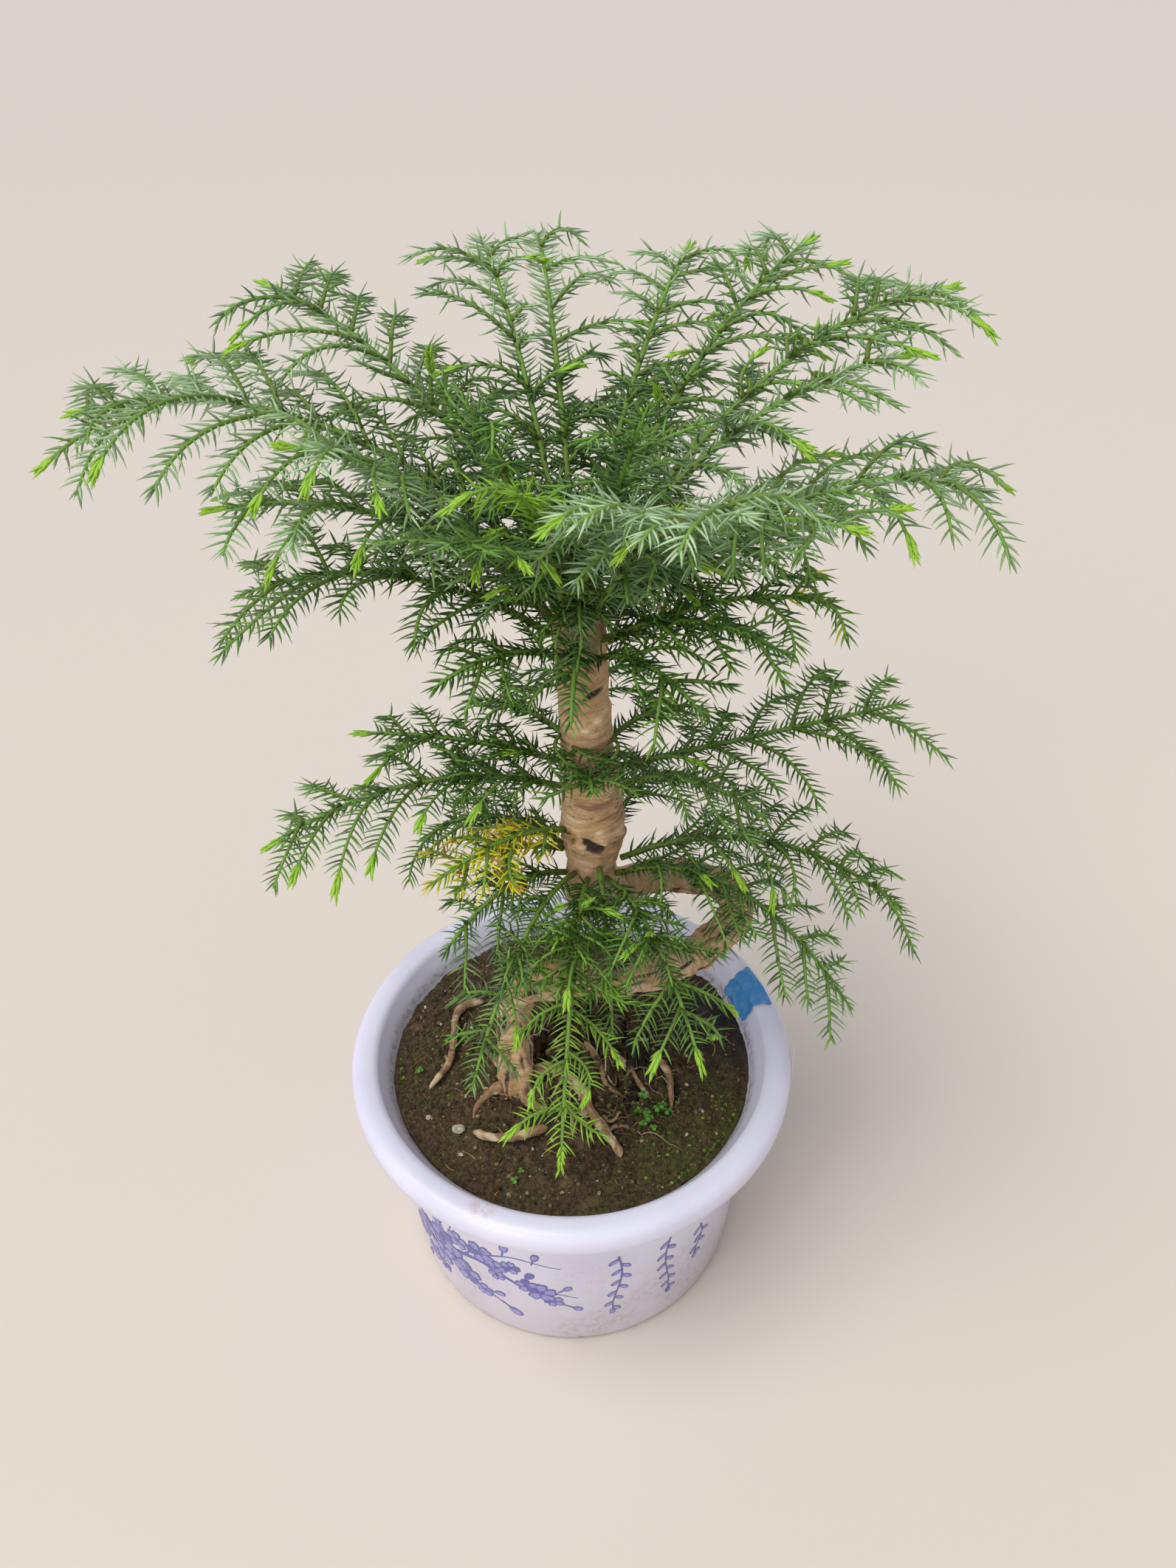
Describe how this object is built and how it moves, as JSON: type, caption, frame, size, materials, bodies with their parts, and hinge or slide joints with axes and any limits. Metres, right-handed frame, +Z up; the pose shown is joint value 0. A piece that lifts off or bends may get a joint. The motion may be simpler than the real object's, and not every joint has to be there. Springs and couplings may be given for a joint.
{
  "type": "potted araucaria",
  "caption": "Young pinched araucaria with whorls of needled branches on a bare ringed trunk and a looped base, growing in a round glossy plastic pot with a wide lip.",
  "frame": {"origin": "centre of the pot's flat underside, on the surface it stands on", "axes": "+Z up, -Y towards the side the printed branch faces, +X to the right seen from that side"},
  "size_m": [0.4228, 0.3215, 0.6125],
  "materials": {
    "pot_plastic": "glossy, slightly worn, printed in blue",
    "soil": "damp crumbly potting soil with moss",
    "bark": "ringed tan bark",
    "root_bark": "dry knotted root",
    "foliage": "green awl-shaped needles on green twigs",
    "tape": "satin film",
    "stone": "dull",
    "seedling": "thin soft leaf"
  },
  "bodies": {
    "root": {"crown_heart_branch_1": "foliage", "crown_heart_branch_2": "foliage", "crown_low_branch_1": "foliage", "crown_low_branch_2": "foliage", "crown_low_branch_3": "foliage", "crown_low_branch_4": "foliage", "crown_low_branch_5": "foliage", "crown_low_branch_6": "foliage", "crown_low_branch_7": "foliage", "crown_low_branch_8": "foliage", "crown_low_branch_9": "foliage", "crown_mid_branch_1": "foliage", "crown_mid_branch_10": "foliage", "crown_mid_branch_11": "foliage", "crown_mid_branch_2": "foliage", "crown_mid_branch_3": "foliage", "crown_mid_branch_4": "foliage", "crown_mid_branch_5": "foliage", "crown_mid_branch_6": "foliage", "crown_mid_branch_7": "foliage", "crown_mid_branch_8": "foliage", "crown_mid_branch_9": "foliage", "crown_top_branch_1": "foliage", "crown_top_branch_2": "foliage", "crown_top_branch_3": "foliage", "crown_top_branch_4": "foliage", "crown_top_branch_5": "foliage", "crown_top_branch_6": "foliage", "crown_top_branch_7": "foliage", "crown_top_branch_8": "foliage", "lower_branch_1": "foliage", "lower_branch_10": "foliage", "lower_branch_11": "foliage", "lower_branch_2": "foliage", "lower_branch_3": "foliage", "lower_branch_4": "foliage", "lower_branch_5": "foliage", "lower_branch_6": "foliage", "lower_branch_7": "foliage", "lower_branch_8": "foliage", "lower_branch_9": "foliage", "middle_branch_1": "foliage", "middle_branch_2": "foliage", "middle_branch_3": "foliage", "middle_branch_4": "foliage", "middle_branch_5": "foliage", "middle_branch_6": "foliage", "middle_branch_7": "foliage", "middle_branch_8": "foliage", "pebble": "stone", "pot": "pot_plastic", "soil": "soil", "stem": "bark", "surface_root_centre": "root_bark", "surface_root_front": "root_bark", "surface_root_left": "root_bark", "surface_root_right": "root_bark", "tape_patch": "tape", "weed_seedling": "seedling"}
  },
  "joints": []
}
